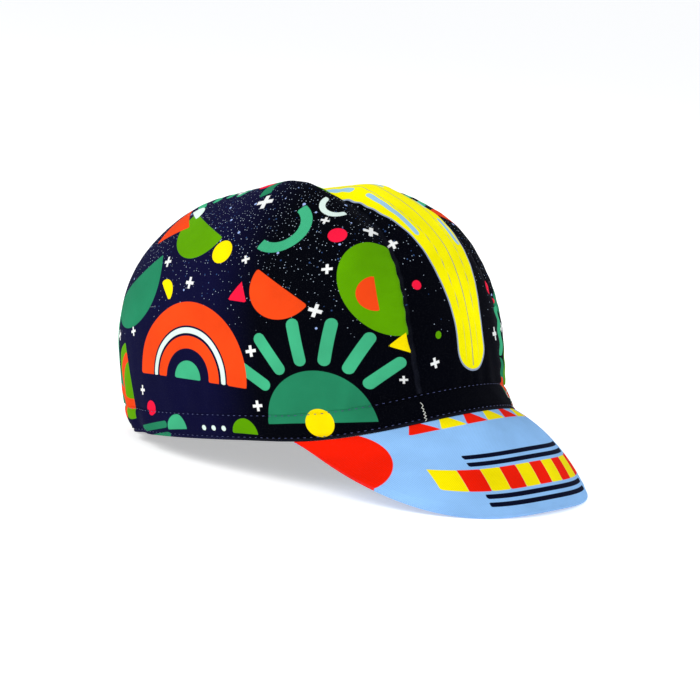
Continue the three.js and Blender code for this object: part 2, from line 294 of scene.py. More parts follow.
def cloth_relief(points):
    """Small forms of the sewn cloth: slack, puckers, drag folds and rolled seam edges."""
    x, y, z = points[..., 0], points[..., 1], points[..., 2]
    slack = (slack_depth * np.sin(y / 13.0 + 1.3 * np.sin(z / 19.0) + 0.6 * np.sign(x))
             * np.sin(z / 17.0 + 0.8 * np.sin(y / 23.0))
             + fine_slack_depth * np.sin((y + 0.6 * z) / 7.5 + 2 * np.sin(x / 21.0)))
    seam = np.abs(from_seam(points))
    along = turn_over(points) * crown_run
    drawn = np.sin(
        along / pucker_wave + 1.7 * np.sin(along / 9.0) + 0.05 * seam * np.sin(along / 17.0))
    pucker = (pucker_depth * np.exp(-seam / 5.0) + far_pucker_depth * np.exp(-seam / 14.0)) * drawn
    roll = -rolled_seam_depth * np.exp(-(seam / 0.75) ** 2)
    dip = -seam_dip_depth * np.exp(-(seam / 9.0) ** 2) * ease(60, 100, z)
    lip = seam_lip_height * np.exp(-((seam - 2.8) / 1.4) ** 2)
    turn = angle_round(points)
    above_band = z - hem_height(turn) - band_height
    low = np.exp(-np.maximum(above_band, 0) / 15.0)
    leaning = turn * hem_run + above_band * 0.35 * np.sin(turn * 3.0)
    drag = drag_fold_depth * low * np.sin(leaning / drag_fold_wave + 1.6 * np.sin(leaning / 11.0))
    sewn = (pucker + roll + lip + dip) * ease(-1, 3, above_band)
    return slack * (1 - 0.5 * low) + sewn + drag + crown_set(points)


def stand(points):
    """The worn cap leaned back and stood on the floor, in metres."""
    x, y, z = points[..., 0], points[..., 1], points[..., 2]
    lean_cos, lean_sin = math.cos(standing_lean), math.sin(standing_lean)
    leaned_y = y * lean_cos + z * lean_sin + standing_shift
    leaned_z = -y * lean_sin + z * lean_cos + standing_lift
    return np.stack([x, leaned_y, np.maximum(leaned_z, 0)], -1) / 1000


# Steps by which the strip's feet on the band are found.
foot_steps = 12


def foot_points(aside, to_front):
    """Where a line of the strip, at that distance from the middle, meets the hem band."""
    angle = np.full(np.shape(aside), 0.3)
    for _ in range(foot_steps):
        height = hem_height(angle if to_front else math.pi) + band_height + seam_half_gap
        height = np.broadcast_to(height, np.shape(aside))
        _, side = crown_reach(height, True)
        angle = np.arcsin(np.minimum(aside / side, 1) ** (oval_roundness / 2))
    points = wall_points(angle if to_front else math.pi - angle, height)
    points[..., 0] *= -1
    return points


def strip_end(share, edge, to_front):
    turn = np.full(np.shape(share), 0.0 if to_front else math.pi)
    for _ in range(foot_steps):
        aside = np.abs(share) * (strip_half_width(turn) + edge)
        turn = turn_over(foot_points(aside, to_front))
    return turn


def strip_points(aside, turn):
    start = np.stack([aside, 0 * aside, 0 * aside + band_height], -1)
    direction = np.stack([0 * turn, -np.cos(turn), np.sin(turn)], -1)
    return cast_to_crown(start, direction)


def even_then_fine(count, fine_steps):
    """Shares from 0 to 1, even over most of the way and finer towards 1."""
    fine = 1 - np.array(fine_steps)
    return np.concatenate([np.linspace(0, fine[0], count, endpoint=False), fine, [1.0]])


def turn_parts(degrees):
    return math.cos(math.radians(degrees)), math.sin(math.radians(degrees))


# The print on the cloth. Each ink has a distance, in millimetres, to the nearest edge of its
# shapes: below nought inside a shape, above nought outside.
def disc(a, b, centre, radius):
    return np.hypot(a - centre[0], b - centre[1]) - radius


def pebble(a, b, centre, half_sizes, tilt):
    c, s = turn_parts(tilt)
    along = (a - centre[0]) * c + (b - centre[1]) * s
    across = -(a - centre[0]) * s + (b - centre[1]) * c
    size = np.hypot(along / half_sizes[0], across / half_sizes[1])
    slope = np.hypot(along / half_sizes[0] ** 2, across / half_sizes[1] ** 2)
    return (size - 1) * size / np.maximum(slope, 1e-4)


def stroke(a, b, start, end, radius):
    run = (end[0] - start[0], end[1] - start[1])
    length = run[0] ** 2 + run[1] ** 2
    share = np.clip(((a - start[0]) * run[0] + (b - start[1]) * run[1]) / length, 0, 1)
    return np.hypot(a - start[0] - run[0] * share, b - start[1] - run[1] * share) - radius


def half_plane(a, b, point, angle):
    """Below nought on the side that the angle points away from."""
    c, s = turn_parts(angle)
    return (a - point[0]) * c + (b - point[1]) * s


def half_disc(a, b, centre, radius, angle):
    return np.maximum(disc(a, b, centre, radius), half_plane(a, b, centre, angle))


def arch(a, b, centre, radius, half_thick, angle):
    ring = np.abs(np.hypot(a - centre[0], b - centre[1]) - radius) - half_thick
    return np.maximum(ring, half_plane(a, b, centre, angle))


def triangle(a, b, centre, size, angle):
    sides = [half_plane(a, b, centre, angle + turn) - size for turn in (0, 120, 240)]
    return np.maximum(np.maximum(sides[0], sides[1]), sides[2])


def fan(a, b, centre, near, far, radius, angles):
    rays = []
    for angle in angles:
        c, s = turn_parts(angle)
        start = (centre[0] + near * c, centre[1] + near * s)
        end = (centre[0] + far * c, centre[1] + far * s)
        rays.append(stroke(a, b, start, end, radius))
    return np.minimum.reduce(rays)


# The side print is flat cloth laid over a ball inside the crown, from a point on each side.
print_ball_radius = 92
print_ball_height = 34.0
print_point_rise = 0.22


def print_place(points):
    """Place on the flat side print: forwards and upwards from its middle, in millimetres."""
    outwards = np.sign(points[..., 0])
    pole = np.stack([outwards, 0 * outwards, print_point_rise + 0 * outwards], -1)
    pole = unit(pole)
    ray = unit(points - np.array([0, 0, print_ball_height]))
    forwards = np.array([0, -1.0, 0])
    upwards = np.cross(pole, forwards) * np.sign(outwards)[..., None]
    upwards *= np.sign(upwards[..., 2:3])
    spread = np.arccos(np.clip((ray * pole).sum(-1), -1, 1))
    a, b = (ray * forwards).sum(-1), (ray * upwards).sum(-1)
    size = np.maximum(np.hypot(a, b), 1e-6)
    return print_ball_radius * spread * a / size, print_ball_radius * spread * b / size


def bars(a, b, centre, half_length, spacing, count, angle, radius):
    c, s = turn_parts(angle)
    lines = []
    for number in range(count):
        shift = (number - (count - 1) / 2) * spacing
        middle = (centre[0] - s * shift, centre[1] + c * shift)
        lines.append(stroke(
            a, b, (middle[0] - half_length * c, middle[1] - half_length * s),
            (middle[0] + half_length * c, middle[1] + half_length * s), radius))
    return np.minimum.reduce(lines)


# Painted light: the near-black ground is painted lighter, up to navy, between these places
# from front to rear, as though lit from behind.
painted_light_start = -34.0
painted_light_full = 4.0


def painted_rear_light(points):
    return ease(painted_light_start, painted_light_full, points[..., 1])


# The left panel is cut from the same repeat of the cloth, turned end for end, so it isn't a
# mirror image of the right one.
left_repeat_along = 14
left_repeat_down = 2


def side_print(points):
    """Distances to the edges of the inks on the side panels and the hem below them."""
    a, b = print_place(points)
    left = points[..., 0] > 0
    a, b = np.where(left, left_repeat_along - a, a), np.where(left, b - left_repeat_down, b)
    inks = {
        "ink_teal": np.minimum.reduce([
            half_disc(a, b, (66, -44), 27, -84),
            half_disc(a, b, (-67, 30), 26, 118),
            bars(a, b, (-48, -53), 12, 6.2, 2, 4, 1.9),
            arch(a, b, (26, 84), 15, 3.4, -64),
            pebble(a, b, (-106, -30), (20, 12), 70),
        ]),
        "ink_leaf": np.minimum.reduce([
            pebble(a, b, (91, 31), (28, 20), -52),
            half_disc(a, b, (44, 98), 12, 20),
            half_disc(a, b, (-72, -24), 21, 6),
            half_disc(a, b, (-18, 60), 21, 62),
            half_disc(a, b, (24, -53), 8, -90),
            disc(a, b, (-110, 34), 13),
        ]),
        "ink_mint": np.minimum.reduce([
            fan(a, b, (66, -44), 33, 52, 3.1, (148, 127, 106, 85, 64, 43)),
            fan(a, b, (-18, 60), 25, 38, 2.8, (144, 122, 100, 78)),
            half_disc(a, b, (-14, -25), 10, -96),
            bars(a, b, (-100, 4), 12, 8.4, 3, 76, 2.6),
            arch(a, b, (32, 58), 13, 2.8, 150),
            half_disc(a, b, (-26, -52), 8, -90),
        ]),
        "ink_orange": np.minimum.reduce([
            arch(a, b, (-14, -25), 35, 6.2, -96),
            arch(a, b, (-14, -25), 20, 3.4, -96),
            half_disc(a, b, (43, 25), 17, 60),
            triangle(a, b, (-48, 62), 8.0, 48),
            arch(a, b, (-72, -24), 13, 2.8, 6),
            half_disc(a, b, (96, 66), 12, 160),
            half_disc(a, b, (88, 27), 9.5, 20),
            arch(a, b, (-104, -34), 9, 2.4, 160),
        ]),
        "ink_yellow": np.minimum.reduce([
            disc(a, b, (4, 42), 6.2),
            half_disc(a, b, (-34, 22), 6.5, -140),
            disc(a, b, (66, -44), 7.0),
            triangle(a, b, (104, 2), 3.4, 20),
            disc(a, b, (-88, 58), 4.4),
        ]),
        "ink_pink": np.minimum.reduce([
            disc(a, b, (4, 92), 6.6),
            triangle(a, b, (20, 20), 3.4, 24),
            disc(a, b, (-48, -40), 4.0),
            disc(a, b, (62, 56), 4.6),
            half_disc(a, b, (-90, 24), 6.0, 40),
        ]),
        "ink_pale": np.minimum.reduce([
            disc(a, b, (-4, -51), 1.5),
            disc(a, b, (3, -51), 1.5),
            disc(a, b, (10, -51), 1.5),
            disc(a, b, (-50, 84), 2.0),
            disc(a, b, (-42, 88), 2.0),
            arch(a, b, (54, 76), 7, 1.5, 60),
            half_disc(a, b, (-26, 100), 8.0, 70),
            arch(a, b, (-14, -25), 26.3, 1.5, -96),
            half_disc(a, b, (-38, 68), 7.0, -120),
        ]),
    }
    # The motifs stop at the seam beside the plain front and rear of the hem.
    beside_strip = -from_seam(points) + 0.3
    marks = {name: np.maximum(distance, beside_strip) for name, distance in inks.items()}
    # Painted light: how far the ground is painted lighter towards the rear, as though lit there.
    marks["painted_rear_light"] = painted_rear_light(points)
    return marks


def grid_faces(numbers):
    """Four-sided faces between the rows and columns of a grid of corner numbers."""
    return np.stack([
        numbers[:-1, :-1], numbers[:-1, 1:], numbers[1:, 1:], numbers[1:, :-1],
    ], -1).reshape(-1, 4)


def sow_crosses(mesh, crosses):
    """Give each face its place beside the nearest printed cross, so a cross prints sharp."""
    corner_of = np.empty(len(mesh.loops), dtype=np.int32)
    mesh.loops.foreach_get("vertex_index", corner_of)
    start_of = np.empty(len(mesh.polygons), dtype=np.int32)
    mesh.polygons.foreach_get("loop_start", start_of)
    total_of = np.empty(len(mesh.polygons), dtype=np.int32)
    mesh.polygons.foreach_get("loop_total", total_of)
    place = np.empty(len(mesh.vertices) * 3, dtype=np.float32)
    mesh.attributes["cloth_place"].data.foreach_get("vector", place)
    place = place.reshape(-1, 3)[corner_of, :2]
    face_of = np.repeat(np.arange(len(total_of)), total_of)
    middle = np.add.reduceat(place, start_of, axis=0) / total_of[:, None]
    crosses = np.array(crosses)
    away = np.linalg.norm(middle[:, None] - crosses[None, :, :2], axis=-1)
    nearest = crosses[np.argmin(away, axis=1)][face_of]
    turn = np.radians(nearest[:, 3])
    across, upwards = place[:, 0] - nearest[:, 0], place[:, 1] - nearest[:, 1]
    beside = np.stack([
        across * np.cos(turn) + upwards * np.sin(turn),
        upwards * np.cos(turn) - across * np.sin(turn),
        nearest[:, 2],
    ], -1)
    layer = mesh.attributes.new("beside_cross", "FLOAT_VECTOR", "CORNER")
    layer.data.foreach_set("vector", beside.astype(np.float32).ravel())


def make_piece(name, corners, faces, marks, place, backs, crosses=None):
    """A mesh from corners in metres, with its marks and its place on the flat cloth."""
    mesh = bpy.data.meshes.new(name)
    mesh.from_pydata(corners.tolist(), [], faces.tolist())
    for mark, values in marks.items():
        layer = mesh.attributes.new(mark, "FLOAT", "POINT")
        layer.data.foreach_set("value", values.astype(np.float32).ravel())
    layer = mesh.attributes.new("cloth_place", "FLOAT_VECTOR", "POINT")
    flat = np.concatenate([place, np.zeros((len(place), 1))], 1)
    layer.data.foreach_set("vector", flat.astype(np.float32).ravel())
    mesh.polygons.foreach_set("material_index", backs.astype(np.int32))
    mesh.polygons.foreach_set("use_smooth", np.ones(len(mesh.polygons), dtype=bool))
    work = bmesh.new()
    work.from_mesh(mesh)
    bmesh.ops.remove_doubles(work, verts=work.verts, dist=2e-6)
    bmesh.ops.recalc_face_normals(work, faces=work.faces)
    work.to_mesh(mesh)
    work.free()
    mesh.set_sharp_from_angle(angle=math.radians(50))
    if crosses is not None:
        sow_crosses(mesh, crosses)
    piece = bpy.data.objects.new(name, mesh)
    bpy.context.scene.collection.objects.link(piece)
    return piece


def make_cloth(name, base, thickness, relief, marks, place, crosses):
    """Cloth with two skins over a grid of crown points, closed all round its edge."""
    normal = outward(base)
    angle = angle_round(base)
    lift = flare(angle, base[..., 2]) + gathers(angle, base[..., 2]) - seam_valley(base)
    outer = base + normal * (lift + relief)[..., None]
    inner = outer - normal * thickness[..., None]
    rows, columns = base.shape[:2]
    numbers = np.arange(rows * columns).reshape(rows, columns)
    total = rows * columns
    rims = []
    for line in (numbers[0][::-1], numbers[-1], numbers[:, 0], numbers[:, -1][::-1]):
        rims.append(np.stack([line[1:], line[:-1], line[:-1] + total, line[1:] + total], -1))
    fronts = grid_faces(numbers)
    backs = fronts[:, ::-1] + total
    faces = np.concatenate([fronts, backs] + rims)
    slots = np.concatenate([
        np.zeros(len(fronts)), np.ones(len(backs)), np.zeros(sum(len(rim) for rim in rims)),
    ])
    corners = np.concatenate([stand(outer).reshape(-1, 3), stand(inner).reshape(-1, 3)])
    double = {key: np.tile(values.ravel(), 2) for key, values in marks.items()}
    flat = np.tile(np.stack([part.ravel() for part in place], -1), (2, 1))
    return make_piece(name, corners, faces, double, flat, slots, crosses)


def add_node(tree, kind, place, **settings):
    made = tree.nodes.new(kind)
    made.location = place
    for name, value in settings.items():
        setattr(made, name, value)
    return made


def feed(tree, node, values):
    """Gives each named input its plain value, or links it to the output given for it."""
    for name, value in values.items():
        if isinstance(value, bpy.types.NodeSocket):
            tree.links.new(value, node.inputs[name])
        else:
            node.inputs[name].default_value = value


def calculate(tree, kind, first, second, place):
    made = add_node(tree, "ShaderNodeMath", place, operation=kind)
    feed(tree, made, {0: first} if second is None else {0: first, 1: second})
    return made.outputs[0]


def map_range(tree, value, reach, result, place, **settings):
    """Carries a value from its reach over to the range of the result."""
    made = add_node(tree, "ShaderNodeMapRange", place, **settings)
    feed(tree, made, {
        "Value": value, "From Min": reach[0], "From Max": reach[1],
        "To Min": result[0], "To Max": result[1]})
    return made.outputs[0]


def new_group(name, inputs, outputs):
    """An empty node group. Its inputs have the kinds given, and its outputs are numbers."""
    group = bpy.data.node_groups.new(name, "ShaderNodeTree")
    for label, kind in inputs.items():
        group.interface.new_socket(label, in_out="INPUT", socket_type="NodeSocket" + kind)
    for label in outputs:
        group.interface.new_socket(label, in_out="OUTPUT", socket_type="NodeSocketFloat")
    entry = add_node(group, "NodeGroupInput", (-900, 0))
    leave = add_node(group, "NodeGroupOutput", (900, 0))
    return group, entry.outputs, leave


# Cotton twill: warp and weft threads with the diagonal line of the weave.
thread_relief = 0.14
diagonal_relief = 0.22
twill, twill_in, twill_out = new_group(
    "cotton_twill", {"Place": "Vector", "Thread": "Float"}, ["Height"])
split = add_node(twill, "ShaderNodeSeparateXYZ", (-700, 0))
feed(twill, split, {0: twill_in["Place"]})
turns = calculate(twill, "DIVIDE", 2 * math.pi, twill_in["Thread"], (-700, -200))
warp = calculate(twill, "MULTIPLY", split.outputs[0], turns, (-500, 100))
weft = calculate(twill, "MULTIPLY", split.outputs[1], turns, (-500, -100))
warp_wave = calculate(twill, "SINE", warp, None, (-300, 100))
weft_wave = calculate(twill, "SINE", weft, None, (-300, -60))
diagonal = calculate(twill, "ADD", warp, weft, (-300, -220))
line = calculate(twill, "MULTIPLY", diagonal, 0.5, (-140, -220))
line_wave = calculate(twill, "SINE", line, None, (0, -220))
threads = calculate(twill, "ADD", warp_wave, weft_wave, (-100, 40))
threads_small = calculate(twill, "MULTIPLY", threads, thread_relief, (60, 40))
line_small = calculate(twill, "MULTIPLY", line_wave, diagonal_relief, (160, -220))
weave = calculate(twill, "ADD", threads_small, line_small, (300, 0))
feed(twill, twill_out, {"Height": calculate(twill, "ADD", weave, 0.5, (460, 0))})

# Age and handling: broad uneven fading, fine flecks of thread and lint.
fleck_reach = (0.60, 0.78)
ageing, ageing_in, ageing_out = new_group(
    "cloth_ageing", {"Place": "Vector", "Patch": "Float", "Fleck": "Float"}, ["Fade", "Flecks"])
patches = add_node(ageing, "ShaderNodeTexNoise", (-500, 200), noise_dimensions="3D")
feed(ageing, patches, {"Vector": ageing_in["Place"], "Scale": ageing_in["Patch"], "Detail": 3})
specks = add_node(ageing, "ShaderNodeTexNoise", (-500, -200), noise_dimensions="3D")
feed(ageing, specks, {"Vector": ageing_in["Place"], "Scale": ageing_in["Fleck"], "Detail": 2})
flecks = map_range(ageing, specks.outputs["Fac"], fleck_reach, (0, 1), (-200, -200))
feed(ageing, ageing_out, {"Fade": patches.outputs["Fac"], "Flecks": flecks})

# Edge of a printed ink: the distance mark turned into a crisp but slightly bled mask.
ink_edge, ink_in, ink_out = new_group(
    "printed_ink_edge", {"Distance": "Float", "Bleed": "Float"}, ["Mask"])
full_at = calculate(ink_edge, "MULTIPLY", ink_in["Bleed"], -1.0, (-500, -150))
inked = map_range(
    ink_edge, ink_in["Distance"], (ink_in["Bleed"], full_at), (0, 1), (-200, 0),
    interpolation_type="SMOOTHSTEP")
feed(ink_edge, ink_out, {"Mask": inked})

# Dots scattered over the dyed ground, at most one to each cell of an uneven net.
dot_softness = 0.10
dust, dust_in, dust_out = new_group(
    "scattered_dots",
    {"Place": "Vector", "Nearness": "Float", "Radius": "Float", "Kept": "Float"}, ["Mask"])
net = add_node(dust, "ShaderNodeTexVoronoi", (-700, 0), voronoi_dimensions="2D")
feed(dust, net, {"Vector": dust_in["Place"], "Scale": dust_in["Nearness"]})
away = calculate(dust, "DIVIDE", net.outputs["Distance"], dust_in["Nearness"], (-500, 60))
cell = add_node(dust, "ShaderNodeSeparateColor", (-500, -200))
feed(dust, cell, {0: net.outputs["Color"]})
sized = calculate(dust, "ADD", cell.outputs[1], 0.5, (-300, -100))
radius = calculate(dust, "MULTIPLY", sized, dust_in["Radius"], (-140, -60))
beyond = calculate(dust, "SUBTRACT", away, radius, (0, 40))
dot = map_range(dust, beyond, (dot_softness, -dot_softness), (0, 1), (150, 40))
kept = calculate(dust, "LESS_THAN", cell.outputs[0], dust_in["Kept"], (-300, -300))
feed(dust, dust_out, {"Mask": calculate(dust, "MULTIPLY", dot, kept, (350, 0))})

# Printed crosses: two bars over each other, from the place beside the nearest cross. A bar's
# half width is a share of the cross's arm.
cross_bar_share = 0.27
cross_softness = 0.12
crossing, crossing_in, crossing_out = new_group("printed_crosses", {"Beside": "Vector"}, ["Mask"])
beside_parts = add_node(crossing, "ShaderNodeSeparateXYZ", (-700, 0))
feed(crossing, beside_parts, {0: crossing_in["Beside"]})
arm = beside_parts.outputs[2]
level_away = calculate(crossing, "ABSOLUTE", beside_parts.outputs[0], None, (-500, 80))
upright_away = calculate(crossing, "ABSOLUTE", beside_parts.outputs[1], None, (-500, -80))
nearer = calculate(crossing, "MINIMUM", level_away, upright_away, (-320, 80))
further = calculate(crossing, "MAXIMUM", level_away, upright_away, (-320, -80))
bar_width = calculate(crossing, "MULTIPLY", arm, cross_bar_share, (-500, -260))
width_left = calculate(crossing, "SUBTRACT", nearer, bar_width, (-140, 80))
arm_left = calculate(crossing, "SUBTRACT", further, arm, (-140, -80))
cross = calculate(crossing, "MAXIMUM", width_left, arm_left, (40, 0))
cross_mask = map_range(crossing, cross, (cross_softness, -cross_softness), (0, 1), (220, 0))
feed(crossing, crossing_out, {"Mask": cross_mask})

# Wear along seams and turned edges: rubbed thread, strongest on the very edge.
edge_wear, wear_in, wear_out = new_group(
    "rubbed_edge", {"Distance": "Float", "Reach": "Float", "Broken": "Float"}, ["Mask"])
worn = map_range(edge_wear, wear_in["Distance"], (0, wear_in["Reach"]), (1, 0), (-400, 0))
worn_here = calculate(edge_wear, "MULTIPLY", worn, wear_in["Broken"], (-100, 0))
feed(edge_wear, wear_out, {"Mask": worn_here})


def place_group(tree, group, place, values):
    made = add_node(tree, "ShaderNodeGroup", place)
    made.node_tree = group
    feed(tree, made, values)
    return made.outputs


def read_mark(tree, mark, place, output="Fac"):
    return add_node(tree, "ShaderNodeAttribute", place, attribute_name=mark).outputs[output]


def blend_colours(tree, mask, under, over, place, kind="MIX"):
    made = add_node(tree, "ShaderNodeMix", place, data_type="RGBA", blend_type=kind)
    feed(tree, made, {0: mask, 6: under, 7: over})
    return made.outputs[2]


# Thread spacing and bleed of the ink in millimetres, sizes of the faded patches and flecks as
# repeats for each millimetre, and how far the thread's tone, fading, lint and rubbing show.
thread_spacing = 0.42
ink_bleed = 0.16
patch_repeat = 0.035
fleck_repeat = 2.6
weave_tones = (0.80, 1.12)
fade_reach = (0.30, 0.72)
fade_tones = (0.86, 1.10)
lint_share = 0.035
lint_colour = (0.6, 0.62, 0.7, 1)
rubbed_reach = 1.5
rubbed_share = 0.10
rubbed_colour = (0.20, 0.22, 0.34, 1)
weave_depth = 0.00012


def printed_cotton(
        name, ground, inks, rear=None, dots=(), fades=(), cross_ink=None, roughness=0.86):
    """Cotton twill with a dyed ground, scattered dots, and printed inks over them.

    The ground is painted lighter towards the rear colour behind, as painted light. Each fade is a
    stretch of the cloth, upwards or lengthwise, from no dots to all of them."""
    material = bpy.data.materials.new(name)
    material.use_nodes = True
    tree = material.node_tree
    shader = tree.nodes["Principled BSDF"]
    where = read_mark(tree, "cloth_place", (-1600, -300), "Vector")
    weave = place_group(tree, twill, (-1200, -400), {"Place": where, "Thread": thread_spacing})
    age = place_group(tree, ageing, (-1200, -650), {
        "Place": where, "Patch": patch_repeat, "Fleck": fleck_repeat})
    colour = ground
    if rear is not None:
        # Painted light: the ground is blended to the lighter rear colour, as though lit from behind.
        behind = read_mark(tree, "painted_rear_light", (-2700, 1800))
        colour = blend_colours(tree, behind, ground, rear, (-2500, 1800))
    share = 1.0
    for step, fade in enumerate(fades):
        level = 1800 + 250 * step
        place_parts = add_node(tree, "ShaderNodeSeparateXYZ", (-2300, level))
        feed(tree, place_parts, {0: where})
        ramp = map_range(tree, place_parts.outputs[1], fade, (0, 1), (-2100, level))
        share = calculate(tree, "MINIMUM", ramp, share, (-1900, level))
    for step, (nearness, size, kept, ink) in enumerate(dots):
        level = 1800 + 250 * step
        kept_here = calculate(tree, "MULTIPLY", share, kept, (-1700, level))
        sown = place_group(tree, dust, (-1350, level), {
            "Place": where, "Nearness": nearness, "Radius": size, "Kept": kept_here})
        colour = blend_colours(tree, sown["Mask"], colour, ink, (-1150, level))
    for step, (mark, ink) in enumerate(inks.items()):
        distance = read_mark(tree, mark, (-1600, 200 * step))
        edge = place_group(tree, ink_edge, (-1350, 200 * step), {
            "Distance": distance, "Bleed": ink_bleed})
        colour = blend_colours(tree, edge["Mask"], colour, ink, (-1100 + 60 * step, 200 * step))
    if cross_ink is not None:
        beside = read_mark(tree, "beside_cross", (-1600, 1600), "Vector")
        crosses = place_group(tree, crossing, (-1350, 1600), {"Beside": beside})
        colour = blend_colours(tree, crosses["Mask"], colour, cross_ink, (-640, 200))
    # Uneven dye and the threads' own light and dark.
    tone = map_range(tree, weave["Height"], (0, 1), weave_tones, (-900, -350))
    patch = map_range(tree, age["Fade"], fade_reach, fade_tones, (-900, -600))
    uneven = calculate(tree, "MULTIPLY", tone, patch, (-720, -450))
    shade = add_node(tree, "ShaderNodeCombineColor", (-560, -350))
    feed(tree, shade, {0: uneven, 1: uneven, 2: uneven})
    colour = blend_colours(tree, 1.0, colour, shade.outputs[0], (-320, 0), "MULTIPLY")
    # Pale flecks of lint, and rubbed thread along seams and turned edges.
    lint = calculate(tree, "MULTIPLY", age["Flecks"], lint_share, (-500, -250))
    colour = blend_colours(tree, lint, colour, lint_colour, (-140, 0))
    rubbed = place_group(tree, edge_wear, (-900, -900), {
        "Distance": read_mark(tree, "edge_distance", (-1200, -900)),
        "Reach": rubbed_reach, "Broken": age["Fade"]})
    rub = calculate(tree, "MULTIPLY", rubbed["Mask"], rubbed_share, (-600, -900))
    colour = blend_colours(tree, rub, colour, rubbed_colour, (40, 0))
    rough = map_range(
        tree, age["Fade"], (0, 1), (roughness - 0.06, roughness + 0.10), (-300, -500))
    lift = add_node(tree, "ShaderNodeBump", (-100, -700))
    feed(tree, lift, {"Strength": 0.5, "Distance": weave_depth, "Height": weave["Height"]})
    feed(tree, shader, {
        "Base Color": colour, "Roughness": rough, "Normal": lift.outputs[0],
        "Sheen Weight": 0.018, "Sheen Roughness": 0.35, "Sheen Tint": (0.45, 0.50, 1, 1),
        "Specular IOR Level": 0.022})
    return material


def srgb(code):
    """Linear colour from a six-figure screen colour."""
    parts = [int(code[index:index + 2], 16) / 255 for index in (1, 3, 5)]
    return tuple(((v + 0.055) / 1.055) ** 2.4 if v > 0.04045 else v / 12.92 for v in parts) + (1,)


def inks_of(**codes):
    """Inks in the order in which they are printed."""
    return {"ink_" + name: srgb(code) for name, code in codes.items()}


black_ground = srgb("#010208")
# Painted light: the navy that the ground is painted behind, lighter as though lit there.
painted_lit_navy = srgb("#0b0b30")
cross_white = srgb("#eceeec")
# How near the dots lie to each other, their radius, the share kept, and their ink.
ground_dots = [
    (0.26, 0.30, 0.50, srgb("#2c4674")),
    (0.55, 0.15, 0.50, srgb("#b8c8d8")),
    (0.110, 0.58, 0.38, srgb("#9fb6ea")),
]
side_dot_fades = [(0, 62)]
# Place, arm length and turn of each printed cross.
side_crosses = [
    (16, 72, 4.6, 8), (-14, 26, 3.0, -6), (63, 36, 2.6, 12), (-37, 38, 2.8, 4), (62, 14, 3.4, -10),
    (30, -9, 3.0, 10), (-62, 2, 2.4, 6), (76, 64, 3.8, 14), (-86, 2, 3.0, 10), (106, -18, 2.2, 6),
    (-16, 88, 3.4, 12), (-70, 62, 3.4, -9), (-92, 44, 2.8, 8), (53, 64, 2.2, 0), (20, 38, 2.2, 20),
    (-106, -8, 2.4, 3), (-56, -30, 2.6, -5), (33, -38, 2.8, 7),
]
side_inks = inks_of(
    teal="#23805a", leaf="#5c9f00", mint="#3fae7e", orange="#ee4716", yellow="#f8e000",
    pink="#f4193f", pale="#dcefe6")
side_cotton = printed_cotton(
    "printed_side_cotton", black_ground, side_inks, painted_lit_navy, ground_dots, side_dot_fades,
    cross_white)
# The back of the cloth, where the print has struck through dull and pale.
back_ground = srgb("#494d70")
side_cotton_back = printed_cotton("back_of_side_cotton", back_ground, inks_of(
    teal="#6c9488", leaf="#8da070", mint="#8ab0a4", orange="#b98270", yellow="#c2ba80",
    pink="#b47484"))

panel_columns = 250
panel_rows = even_then_fine(122, (0.024, 0.017, 0.012, 0.008, 0.0055, 0.0035, 0.002, 0.001))


# A seam's turnings lie flat against the inside, as far out as this and this thick.
turnings_width = (6.6, 7.2)
turnings_depth = 0.7
printed_skin = cloth_thickness - 0.2


def above_hem(points):
    return points[..., 2] - hem_height(angle_round(points)) - band_height


def sewn_thickness(points):
    turnings = turnings_depth * (1 - ease(*turnings_width, np.abs(from_seam(points))))
    return printed_skin + turnings * ease(0, 4, above_hem(points))


def side_panel(name, node, side):
    start = float(strip_end(np.array(1.0), seam_half_gap, True))
    end = float(strip_end(np.array(1.0), seam_half_gap, False))
    turns = np.linspace(start, end, panel_columns + 1)
    seam = strip_points(strip_half_width(turns) + seam_half_gap, turns)
    angles = np.linspace(angle_round(seam[:1])[0], angle_round(seam[-1:])[0], panel_columns + 1)
    foot = wall_points(-angles, hem_height(angles) + band_height + seam_half_gap)
    foot[0], foot[-1] = seam[0], seam[-1]
    centre = np.array([0, 0, band_height])
    rays = foot[None] * (1 - panel_rows[:, None, None]) + seam[None] * panel_rows[:, None, None]
    base = cast_to_crown(centre, unit(rays - centre))
    base[0], base[-1] = foot, seam
    base[:, 0], base[:, -1] = seam[0], seam[-1]
    base = base * np.array([side, 1, 1])
    marks = side_print(base)
    marks["edge_distance"] = np.minimum(np.abs(from_seam(base)), 3 + np.abs(above_hem(base)))
    thickness = sewn_thickness(base)
    place = print_place(base)
    # Crosses follow the same turned repeat as the motifs.
    crosses = side_crosses
    if side > 0:
        crosses = [
            (left_repeat_along - a, b + left_repeat_down, arm, -turn)
            for a, b, arm, turn in side_crosses]
    piece = make_cloth(name, base, thickness, cloth_relief(base), marks, place, crosses)
    piece.data.materials.append(side_cotton)
    piece.data.materials.append(side_cotton_back)
    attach(piece, "root")
    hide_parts(node)
    return piece


side_panel("side_panel_right", "crown_panel_right", -1)
side_panel("side_panel_left", "crown_panel_left", 1)


# Centre strip: one long piece of the same twill from the forehead over to the nape, wider at
# the front, with a broad printed stripe down its middle. It is sewn to a panel on each side.
strip_lengthwise = 330

# The printed stripe, by its distance over the crown: it starts at a rounded tip in front,
# widens, and ends aslant. Two bars cross the strip behind it, and lines and dashes run along it.
stripe_narrow, stripe_widening, stripe_widens = 10.0, 9.0, (30, 100)
stripe_start, stripe_end, stripe_slant = 26, 138, 0.25
crossbar_places, crossbar_reach = ((143.5, 2.2), (150.5, 1.4)), 18.5
stripe_line_places, stripe_line_half = (-0.52, 0.0, 0.52), 0.34
dash_aside, dash_radius = 13.2, 1.6
rim_width = 0.9


